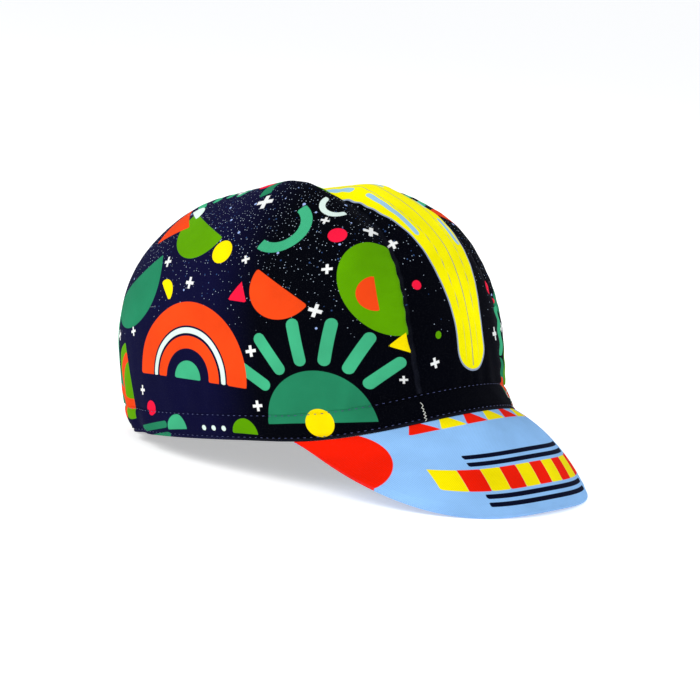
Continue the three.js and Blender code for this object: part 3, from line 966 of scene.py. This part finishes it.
def strip_print(points):
    """A broad stripe up the forehead that ends in bars on the crown, and motifs behind it."""
    aside = points[..., 0]
    over = turn_over(points) * crown_run
    stripe_half = stripe_narrow + stripe_widening * ease(*stripe_widens, over)
    tip = np.hypot(aside, np.minimum(over - stripe_start, 0)) - stripe_half
    stripe = np.maximum(tip, over - stripe_end - stripe_slant * aside)
    crossbars = np.minimum.reduce([
        np.abs(over - place - stripe_slant * aside) - half for place, half in crossbar_places])
    crossbars = np.maximum(crossbars, np.abs(aside) - crossbar_reach)
    lines = np.minimum.reduce([
        np.abs(aside + line * stripe_half) - stripe_line_half for line in stripe_line_places])
    dashes = np.minimum.reduce([
        stroke(aside, over, (line * dash_aside, start), (line * dash_aside, end), dash_radius)
        for line, start, end in (
            (-1, 78, 106), (-1, 116, 130), (1, 72, 84), (1, 94, 124), (0.26, 112, 129))])
    spots = [disc(aside, over, centre, size) for centre, size in (
        ((27, 52), 3.0), ((-27, 56), 2.2), ((24, 92), 1.8), ((-22, 33), 1.7), ((9, 166), 2.6),
        ((-14, 212), 2.2), ((12, 252), 2.6))]
    return {
        "ink_teal": np.minimum.reduce([
            half_disc(aside, over, (-2, 240), 13, 70), triangle(aside, over, (12, 186), 4.0, 20)]),
        "ink_mint": bars(aside, over, (0, 272), 7, 6.0, 2, 12, 1.8),
        "ink_orange": arch(aside, over, (3, 212), 10, 2.6, 100),
        "ink_rim": stripe - rim_width,
        "ink_yellow": np.minimum(stripe, crossbars),
        "ink_line": np.maximum(lines, stripe + 1.2),
        "ink_sky": np.maximum(dashes, stripe + 1.0),
        "ink_pink": np.minimum.reduce(spots[0:2] + spots[5:6]),
        "ink_leaf": np.minimum.reduce(
            spots[2:5] + spots[6:] + [half_disc(aside, over, (-3, 182), 11, -100)]),
        # Painted light: the share of the strip's ground painted lighter towards the rear.
        "painted_rear_light": painted_rear_light(points),
    }


strip_dot_fades = [(30, 110), (262, 190)]
strip_inks = inks_of(
    teal="#23805a", mint="#3fae7e", orange="#ee4716", rim="#9aa8c0", yellow="#fff600",
    line="#b0b078", sky="#9fcbe4", pink="#f4193f", leaf="#5c9f00")
strip_cotton = printed_cotton(
    "printed_strip_cotton", black_ground, strip_inks, painted_lit_navy, ground_dots, strip_dot_fades,
    cross_white)
strip_cotton_back = printed_cotton("back_of_strip_cotton", back_ground, inks_of(
    teal="#6c9488", orange="#b98270", yellow="#c6c084", sky="#a4b6bc", leaf="#8da070"))
strip_crosses = [
    (25, 31, 3.0, 6), (-28, 77, 2.4, -8), (26, 71, 2.6, 12), (-14, 166, 2.6, 8), (14, 228, 2.8, -4),
    (-16, 262, 2.6, 6), (-25, 21, 2.4, 10), (12, 200, 2.2, 4),
]

half_shares = even_then_fine(34, (0.06, 0.045, 0.03, 0.02, 0.012, 0.006))
shares = np.concatenate([-half_shares[:0:-1], half_shares])
strip_starts = strip_end(shares, -seam_half_gap, True)
strip_finishes = strip_end(shares, -seam_half_gap, False)
lengthwise = np.linspace(0, 1, strip_lengthwise + 1)[:, None]
strip_turns = strip_starts + (strip_finishes - strip_starts) * lengthwise
strip_aside = shares * (strip_half_width(strip_turns) - seam_half_gap)
strip_base = strip_points(strip_aside, strip_turns)
strip_marks = strip_print(strip_base)
strip_marks["edge_distance"] = np.abs(from_seam(strip_base))
centre_strip = make_cloth(
    "centre_strip", strip_base, sewn_thickness(strip_base), cloth_relief(strip_base),
    strip_marks, (strip_base[..., 0], turn_over(strip_base) * crown_run), strip_crosses)
centre_strip.data.materials.append(strip_cotton)
centre_strip.data.materials.append(strip_cotton_back)
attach(centre_strip, "root")
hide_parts("crown_strip")


# Hem band: the lower edge of the crown turned up inside and stitched down in two rows, with
# elastic inside it at the nape. It flares out over the root of the peak at the front.
band_thickness = 2.0
band_stations = 800
upper_stitch_height = 12.1
lower_stitch_height = 1.7
stitch_pitch = 3.3
puff_height = 0.80
row_depth = 0.42
upper_row_width, lower_row_width = 0.7, 0.6
pinch_depth = 0.07
drag_depth, drag_width, drag_wander = 0.14, 2.9, 17.0
turned_edge_height, turned_edge_width, turned_edge_depth = 12.0, 0.5, 0.25
fold_height = 0.5


def band_relief(angle, height):
    """Puffed cloth between the two stitch rows, and the pinch of each stitch."""
    up = height - hem_height(angle)
    share = np.clip((up - lower_stitch_height) / (upper_stitch_height - lower_stitch_height), 0, 1)
    puff = puff_height * np.sin(share * math.pi) ** 0.7
    rows = np.exp(-((up - upper_stitch_height) / upper_row_width) ** 2)
    rows = rows + np.exp(-((up - lower_stitch_height) / lower_row_width) ** 2)
    along = np.abs(angle) * hem_run
    pinch = pinch_depth * np.cos(2 * math.pi * along / stitch_pitch) * rows
    slant = np.sin(along / drag_width + 1.2 * np.sin(along / drag_wander) + 0.25 * up)
    return puff - row_depth * rows + pinch + drag_depth * slant * np.sin(share * math.pi)


def band_surface(angle, up):
    """Points on the outside of the band and their normals, at heights above the hem edge."""
    height = hem_height(angle) + up
    base = wall_points(angle, height)
    normal = outward(base)
    lift = flare(angle, height) + gathers(angle, height) - seam_valley(base)
    return base + normal * (lift + band_relief(angle, height))[..., None], normal, base


band_angles = np.linspace(-math.pi, math.pi, band_stations, endpoint=False)
band_top = band_height - seam_half_gap
outer_ups = np.concatenate([np.linspace(fold_height, 12.4, 25), [12.7, band_top]])
inner_ups = np.array([band_top, 12.6, turned_edge_height, 9.0, 6.0, 3.0, 1.4, fold_height])
band_lines, base_lines = [], []
for up in outer_ups:
    skin, _, base = band_surface(band_angles, up)
    band_lines.append(skin)
    base_lines.append(base)
for up in inner_ups:
    skin, normal, base = band_surface(band_angles, up)
    pressed = turned_edge_depth * math.exp(-((up - turned_edge_height) / turned_edge_width) ** 2)
    band_lines.append(skin - normal * (band_thickness - pressed))
    base_lines.append(base)
# The folded edge below is a flat half round that joins the two skins.
low_skin, low_normal, low_base = band_surface(band_angles, fold_height)
rising = unit(band_surface(band_angles, 2.0)[0] - low_skin)
for degrees in (150, 120, 90, 60, 30):
    c, s = turn_parts(degrees)
    inwards = low_normal * (1 - c) * band_thickness / 2
    band_lines.append(low_skin - inwards - rising * fold_height * s)
    base_lines.append(low_base)
band_grid, band_base = np.stack(band_lines), np.stack(base_lines)
band_rows = len(band_grid)
numbers = np.arange(band_rows * band_stations).reshape(band_rows, band_stations)
band_faces = grid_faces(np.pad(numbers, ((0, 1), (0, 1)), mode="wrap"))
band_inside = np.zeros((band_rows, band_stations))
band_inside[len(outer_ups):len(outer_ups) + len(inner_ups) - 1] = 1
band_marks = side_print(band_base)
band_up = band_base[..., 2] - hem_height(angle_round(band_base))
band_marks["edge_distance"] = band_up * 0.9
# The band has no crosses: the one that its cloth asks for lies off its print.
off_the_print = (0, 200, 1, 0)
hem_band = make_piece(
    "sewn_hem_band", stand(band_grid).reshape(-1, 3), band_faces,
    {key: values.ravel() for key, values in band_marks.items()},
    np.stack([part.ravel() for part in print_place(band_base)], -1), band_inside.ravel(),
    [off_the_print])
hem_band.data.materials.append(side_cotton)
hem_band.data.materials.append(side_cotton_back)
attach(hem_band, "root")
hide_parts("hem_band")


# Hem stitching: two rows of blue-grey cotton lockstitch round the band, one near its folded
# edge and one along the top of the turning. Each stitch dips into the cloth at both ends.
stitch_length = 2.3
stitch_radius = 0.22
stitch_sink = 0.02
thread_sides = 6
# Height over the cloth and thickness along a stitch, from one end to the other.
stitch_heights = np.array([-0.30, -0.02, 0.05, -0.02, -0.30]) - stitch_sink
stitch_radii = np.array([0.55, 0.95, 1.0, 0.95, 0.55]) * stitch_radius


def thread_faces(first, rings):
    """Faces round a thread, from the number of its first corner on, and over its two ends."""
    last = first + (rings - 1) * thread_sides
    faces = []
    for ring in range(first, last, thread_sides):
        for turn in range(thread_sides):
            near, beside = ring + turn, ring + (turn + 1) % thread_sides
            faces.append((near, near + thread_sides, beside + thread_sides, beside))
    faces.append(tuple(range(first, first + thread_sides)))
    faces.append(tuple(range(last, last + thread_sides))[::-1])
    return faces


def stitch_row(up):
    fine = np.linspace(-math.pi, math.pi, 4001)
    line_points, _, _ = band_surface(fine, up)
    steps = np.linalg.norm(np.diff(line_points, axis=0), axis=1)
    travelled = np.concatenate([[0], np.cumsum(steps)])
    count = int(round(travelled[-1] / stitch_pitch))
    middles = (np.arange(count) + 0.5) * travelled[-1] / count
    corners, faces = [], []
    for middle in middles:
        places = middle + np.linspace(-0.5, 0.5, len(stitch_heights)) * stitch_length
        angles = np.interp(places, travelled, fine)
        skin, normal, _ = band_surface(angles, up)
        ahead = unit(skin[-1] - skin[0])
        faces += thread_faces(len(corners) * thread_sides, len(stitch_heights))
        for place, out, height, radius in zip(skin, normal, stitch_heights, stitch_radii):
            across = np.cross(out, ahead)
            corners.append([
                place + out * (height + radius * math.cos(turn)) + across * radius * math.sin(turn)
                for turn in np.arange(thread_sides) * 2 * math.pi / thread_sides])
    return np.array(corners).reshape(-1, 3), faces


def thread_material(name, colour):
    """Twisted sewing thread: pale and dark turns of its plies, with a slight gloss."""
    material = bpy.data.materials.new(name)
    material.use_nodes = True
    tree = material.node_tree
    shader = tree.nodes["Principled BSDF"]
    where = add_node(tree, "ShaderNodeTexCoord", (-900, 0))
    plies = add_node(tree, "ShaderNodeTexWave", (-650, 0), wave_type="BANDS", bands_direction="DIAGONAL")
    feed(tree, plies, {"Vector": where.outputs["Object"], "Scale": 900, "Distortion": 1.5})
    ply = plies.outputs["Fac"]
    dark = tuple(0.6 * part for part in colour[:3]) + (1,)
    tone = blend_colours(tree, ply, dark, colour, (-350, 0))
    rough = map_range(tree, ply, (0, 1), (0.48, 0.66), (-350, -250))
    twist = add_node(tree, "ShaderNodeBump", (-350, -450))
    feed(tree, twist, {"Strength": 0.4, "Distance": 0.0001, "Height": ply})
    feed(tree, shader, {
        "Base Color": tone, "Roughness": rough, "Normal": twist.outputs[0], "Sheen Weight": 0.15})
    return material


def make_thread(name, corners, faces, material, slot):
    mesh = bpy.data.meshes.new(name)
    mesh.from_pydata(stand(corners).tolist(), [], faces)
    mesh.polygons.foreach_set("use_smooth", np.ones(len(mesh.polygons), dtype=bool))
    mesh.materials.append(material)
    piece = bpy.data.objects.new(name, mesh)
    bpy.context.scene.collection.objects.link(piece)
    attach(piece, "root")
    return piece


hem_thread = thread_material("blue_grey_thread", srgb("#38437a"))
make_thread("hem_stitch_upper", *stitch_row(upper_stitch_height), hem_thread, "hem_band")
make_thread("hem_stitch_lower", *stitch_row(lower_stitch_height), hem_thread, "hem_band")


# Peak: a stiff board covered with printed cotton above and below, turned over its rim, sewn
# under the front of the hem. It slopes forwards, droops towards its rim and curves sideways.
peak_length = 62.2
peak_roundness = 3.5
peak_spread = 0.035
peak_thickness = 2.2
peak_corner_thickness = 1.0
peak_tuck = 1.7
peak_slope = 27.0
peak_droop = 44.0
peak_side_ease = 7.0
peak_rise_into_hem = 0.05
peak_columns = 260
peak_end_reach = 1.6
# The peak's corners lie a little forward of the ends of the hem's bow.
peak_corner_angle = peak_end_angle - math.radians(5)
# The cloth's own form over the board: a faint ridge where it turns over the rim, and waves.
ridge_from_rim, ridge_width, ridge_height = 5.5, 1.1, 0.16
wave_height = 0.10
# Turns at which the cloth's way round the board's rim is drawn, in degrees.
rim_swings = (20, 40, 60, 80, 100, 120, 140, 160)

# Printed forms: places aside from the middle, and distances from the hem or from the rim.
corner_place, corner_size = (98, 12), 40
pennant_pitch, pennant_size, pennant_from_hem = 13.6, 3.9, 3.4
blocks_from_rim, blocks_half, blocks_reach, block_pitch = 19.5, 6.2, 52.25, 19.0
lines_from_rim, line_half, lines_reach, line_to_corner = (6.0, 10.4, 28.6, 33.0), 1.25, 37, 3.4

edge_angles = np.linspace(0, math.pi / 2, 1500)
edge_base = wall_points(edge_angles, hem_height(edge_angles))
edge_normals = outward(edge_base)
edge_lift = flare(edge_angles, edge_base[:, 2]) + gathers(edge_angles, edge_base[:, 2])
edge_line = edge_base + edge_normals * (edge_lift - seam_valley(edge_base))[:, None]
peak_half_width = float(np.interp(peak_corner_angle, edge_angles, -edge_line[:, 0]))

# Stations along the rim, evenly spaced, from one corner of the root to the other.
end_turn = math.acos((peak_end_reach / peak_length) ** (peak_roundness / 2))
fine_turns = np.linspace(-end_turn, end_turn, 6001)
rim_aside = np.sign(fine_turns) * np.abs(np.sin(fine_turns)) ** (2 / peak_roundness)
rim_reach = np.cos(fine_turns) ** (2 / peak_roundness)
rim_steps = np.hypot(np.diff(rim_aside) * peak_half_width, np.diff(rim_reach) * peak_length)
rim_run = np.concatenate([[0], np.cumsum(rim_steps)])
turns = np.interp(np.linspace(0, rim_run[-1], peak_columns + 1), rim_run, fine_turns)
peak_aside = peak_half_width * np.sign(turns) * np.abs(np.sin(turns)) ** (2 / peak_roundness)
peak_reach = peak_length * np.cos(turns) ** (2 / peak_roundness)
peak_shares = np.concatenate([np.linspace(0, 0.9, 56), np.linspace(0.91, 1, 10)])


def root_place(aside):
    """Angle round the hem's edge at a distance aside from the middle."""
    return np.interp(np.abs(aside), -edge_line[:, 0], edge_angles)


def peak_top(aside, along):
    """Points on top of the peak, a distance along it from the hem."""
    root = root_place(aside)
    start = np.radians(peak_slope - peak_side_ease * (aside / peak_half_width) ** 2)
    bend = math.radians(peak_droop) / peak_length
    ahead = (np.sin(start + bend * along) - np.sin(start)) / bend
    down = (np.cos(start) - np.cos(start + bend * along)) / bend
    return np.stack([
        aside * (1 + peak_spread * along / peak_length),
        np.interp(root, edge_angles, edge_line[:, 1]) - ahead,
        np.interp(root, edge_angles, edge_line[:, 2]) + peak_rise_into_hem - down,
    ], -1)


grid_aside = np.broadcast_to(peak_aside, (len(peak_shares), peak_columns + 1))
grid_along = peak_shares[:, None] * peak_reach[None, :]
from_rim = (1 - peak_shares[:, None]) * peak_reach[None, :]
peak_grid = peak_top(grid_aside, grid_along)
small_step = 0.1
sideways = (peak_top(grid_aside + small_step, grid_along)
            - peak_top(grid_aside - small_step, grid_along))
forwards = (peak_top(grid_aside, grid_along + small_step)
            - peak_top(grid_aside, grid_along - small_step))
peak_normals = unit(np.cross(forwards, sideways))
peak_normals *= np.sign(peak_normals[..., 2:3])
root_line = peak_grid[0]
root_inwards = unit(np.stack([
    np.sign(peak_aside) * np.interp(root_place(peak_aside), edge_angles, edge_normals[:, 0]),
    -np.interp(root_place(peak_aside), edge_angles, edge_normals[:, 1]),
    0 * peak_aside,
], -1))
corner_steps = np.minimum(np.arange(peak_columns + 1), peak_columns - np.arange(peak_columns + 1))
board = peak_corner_thickness + (peak_thickness - peak_corner_thickness) * ease(
    0, 0.2, corner_steps / peak_columns)
rim_outwards = np.cross(unit(np.gradient(peak_grid[-1], axis=0)), peak_normals[-1])
peak_middle = peak_top(np.array(0.0), np.array(peak_length / 2))
rim_outwards *= np.sign(((peak_grid[-1] - peak_middle) * rim_outwards).sum(-1, keepdims=True))
drawn_in = (board / 2)[None, :, None] * rim_outwards[None] * peak_shares[:, None, None] ** 6
peak_grid = peak_grid - drawn_in
waves = np.sin(grid_aside / 8.0 + np.sin(grid_along / 9.0)) * np.sin(grid_along / 11.0)
ridge = np.exp(-((from_rim - ridge_from_rim) / ridge_width) ** 2) * ease(0, 8, grid_along)
drape = (wave_height * waves + ridge_height * ridge)[..., None]
top_skin = peak_grid + peak_normals * drape
under_skin = peak_grid - peak_normals * board[None, :, None]
rounds = []
for degrees in rim_swings:
    c, s = turn_parts(degrees)
    rounds.append(peak_grid[-1] - peak_normals[-1] * (board / 2)[:, None] * (1 - c)
                  + rim_outwards * (board / 2)[:, None] * s)
tuck_top = root_line + root_inwards * peak_tuck
tuck_under = tuck_top - np.stack([0 * board, 0 * board, board], -1)
peak_loop = np.concatenate([
    tuck_top[None], top_skin, np.stack(rounds), under_skin[::-1], tuck_under[None]])


def peak_print():
    """Bunting along the hem, solid corners, and blocks and lines that follow the rim."""
    aside, along = grid_aside, grid_along
    corner = disc(np.abs(aside), along, corner_place, corner_size)
    pennants = [
        triangle(aside, along, (centre, pennant_from_hem), pennant_size, 90)
        for centre in np.arange(-3, 4) * pennant_pitch]
    blocks = np.maximum(np.abs(from_rim - blocks_from_rim) - blocks_half, np.abs(aside) - blocks_reach)
    half_pitch = block_pitch / 2
    red_blocks = np.abs(np.mod(aside + half_pitch, block_pitch) - half_pitch) - half_pitch / 2
    lines = np.minimum.reduce([np.abs(from_rim - place) - line_half for place in lines_from_rim])
    line_ends = np.maximum(np.abs(aside) - lines_reach, line_to_corner - corner)
    return {
        "ink_red": np.minimum.reduce([corner, *pennants[0::2], np.maximum(blocks, red_blocks)]),
        "ink_yellow": np.minimum.reduce([*pennants[1::2], np.maximum(blocks, -red_blocks)]),
        "ink_navy": np.maximum(lines, line_ends),
    }


# Rows of the loop round the board: tucked edge, top, turn of the rim, underside, tucked edge.
loop_rows = len(peak_loop)
loop_shape = (loop_rows, peak_columns + 1)
top_rows = slice(1, 1 + len(peak_shares))
rim_rows = slice(top_rows.stop, top_rows.stop + len(rim_swings))
under_rows = slice(rim_rows.stop, loop_rows - 1)
bare = 9.0
peak_marks = {}
for mark, values in peak_print().items():
    whole = np.full(loop_shape, bare)
    whole[top_rows] = values
    whole[0] = values[0]
    whole[rim_rows.start:rim_rows.start + len(rim_swings) // 2] = values[-1]
    peak_marks[mark] = whole.ravel()
far_from_rim = 6.0
rim_distance = np.full(loop_shape, far_from_rim)
rim_distance[top_rows] = from_rim
rim_distance[rim_rows] = 0
peak_marks["edge_distance"] = rim_distance.ravel()
loop_along = np.zeros(loop_shape)
loop_along[top_rows] = grid_along
for row, degrees in enumerate(rim_swings, rim_rows.start):
    loop_along[row] = peak_reach + math.radians(degrees) * board / 2
loop_along[under_rows] = peak_reach + math.pi * board / 2 + from_rim[::-1]
loop_aside = np.broadcast_to(peak_aside, loop_along.shape)
numbers = np.arange(loop_rows * (peak_columns + 1)).reshape(loop_shape)
peak_faces = grid_faces(np.pad(numbers, ((0, 1), (0, 0)), mode="wrap"))
# The two short ends of the board are closed across, from its top to its underside.
across_from = numbers[::-1]
half = loop_rows // 2 - 1
for near, far, column in ((numbers, across_from, 0), (across_from, numbers, -1)):
    near, far = near[:half + 1, column], far[:half + 1, column]
    end_faces = np.stack([near[:-1], near[1:], far[1:], far[:-1]], -1)
    peak_faces = np.concatenate([peak_faces, end_faces])
under_faces = np.zeros((loop_rows, peak_columns))
under_faces[under_rows.start:] = 1
under_faces = np.concatenate([under_faces.ravel(), np.zeros(2 * half)])
peak = make_piece(
    "printed_peak", stand(peak_loop).reshape(-1, 3), peak_faces, peak_marks,
    np.stack([loop_aside.ravel(), loop_along.ravel()], -1), under_faces)
peak.data.materials.append(printed_cotton(
    "printed_peak_cotton", srgb("#8dbdf0"),
    inks_of(red="#f01c04", yellow="#f8e600", navy="#050a24"), roughness=0.80))
peak.data.materials.append(printed_cotton(
    "plain_peak_lining", srgb("#7fa8e2"), {}, roughness=0.82))
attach(peak, "root")
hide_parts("peak")


# Bar tacks: white thread sewn to and fro over the band at the foot of each front seam, where
# the hem takes the pull of the peak. Its cut end stands a little proud.
tack_low = 0.7
tack_high = 7.4
tack_turns = 9
tack_steps = 8
tack_radius = 0.19
tack_half_width = 0.62
tack_lift, tack_arch = 0.10, 0.16
# The cut end: its height past the last turn, and how far it stands aside and out.
cut_end_up = np.array([0.5, 1.1, 1.8])
cut_end_aside = [-0.35, 0.1, 0.75]
cut_end_out = [0.3, 0.6, 0.95]


def bar_tack(side):
    steps = np.linspace(0, tack_turns, tack_turns * tack_steps + 1)
    swing = np.abs(np.mod(steps, 2) - 1) * 2 - 1
    ups = tack_low + (tack_high - tack_low) * steps / tack_turns
    ups = np.concatenate([ups, tack_high + cut_end_up])
    aside = np.concatenate([tack_half_width * swing, cut_end_aside])
    lift = np.concatenate([tack_lift + tack_arch * (1 - swing ** 2), cut_end_out])
    seam_turn = np.array([0.1])
    seam_foot = strip_points(strip_half_width(seam_turn), seam_turn)
    angles = -side * (float(angle_round(seam_foot)[0]) + aside / hem_run)
    skin, normal, _ = band_surface(angles, ups)
    path = skin + normal * lift[:, None]
    ahead = unit(np.gradient(path, axis=0))
    across = unit(np.cross(normal, ahead))
    above = np.cross(ahead, across)
    lines = [
        path + tack_radius * (above * math.cos(turn) + across * math.sin(turn))
        for turn in np.arange(thread_sides) * 2 * math.pi / thread_sides]
    return np.stack(lines, 1).reshape(-1, 3), thread_faces(0, len(path))


white_thread = thread_material("white_thread", srgb("#e4e6dc"))
make_thread("bar_tack_right", *bar_tack(-1), white_thread, "hem_band")
make_thread("bar_tack_left", *bar_tack(1), white_thread, "hem_band")


# Floor: a plain pale sheet of board with matt paint, wide enough to fill the view. The cap
# stands on it by its own weight.
floor_reach = 14
floor_mesh = bpy.data.meshes.new("floor")
floor_corners = [
    (-floor_reach, -floor_reach, 0), (floor_reach, -floor_reach, 0),
    (floor_reach, floor_reach, 0), (-floor_reach, floor_reach, 0)]
floor_mesh.from_pydata(floor_corners, [], [(0, 1, 2, 3)])
floor = bpy.data.objects.new("floor", floor_mesh)
bpy.context.scene.collection.objects.link(floor)
floor_paint = bpy.data.materials.new("pale_floor")
floor_paint.use_nodes = True
feed(floor_paint.node_tree, floor_paint.node_tree.nodes["Principled BSDF"], {
    "Base Color": (0.88, 0.88, 0.88, 1), "Roughness": 0.9,
    "Emission Color": (1, 1, 1, 1), "Emission Strength": 0.44})
floor_mesh.materials.append(floor_paint)


# Lights: a large soft lamp above and behind the wearer's right, weaker ones from the front
# and from the wearer's left, and an even pale sky.
def soft_lamp(name, place, aim, size, power, colour):
    lamp = bpy.data.lights.new(name, "AREA")
    lamp.shape = "RECTANGLE"
    lamp.size, lamp.size_y = size
    lamp.energy = power
    lamp.color = colour
    holder = bpy.data.objects.new(name, lamp)
    holder.location = place
    holder.rotation_euler = (Vector(aim) - Vector(place)).to_track_quat("-Z", "Y").to_euler()
    bpy.context.scene.collection.objects.link(holder)


soft_lamp("key_lamp", (-1.3, 0.9, 1.3), (0, 0, 0.07), (1.3, 1.3), 22, (1, 0.99, 0.97))
soft_lamp("front_lamp", (-0.6, -1.9, 1.1), (0, -0.03, 0.05), (1.5, 1.1), 10, (0.97, 0.98, 1))
soft_lamp("far_lamp", (1.6, -0.3, 1.3), (0, 0, 0.05), (1.4, 1.2), 7, (0.98, 0.99, 1))

sky = bpy.data.worlds.new("studio")
sky.use_nodes = True
feed(sky.node_tree, sky.node_tree.nodes["Background"], {
    "Color": (0.95, 0.97, 1, 1), "Strength": 0.62})
bpy.context.scene.world = sky
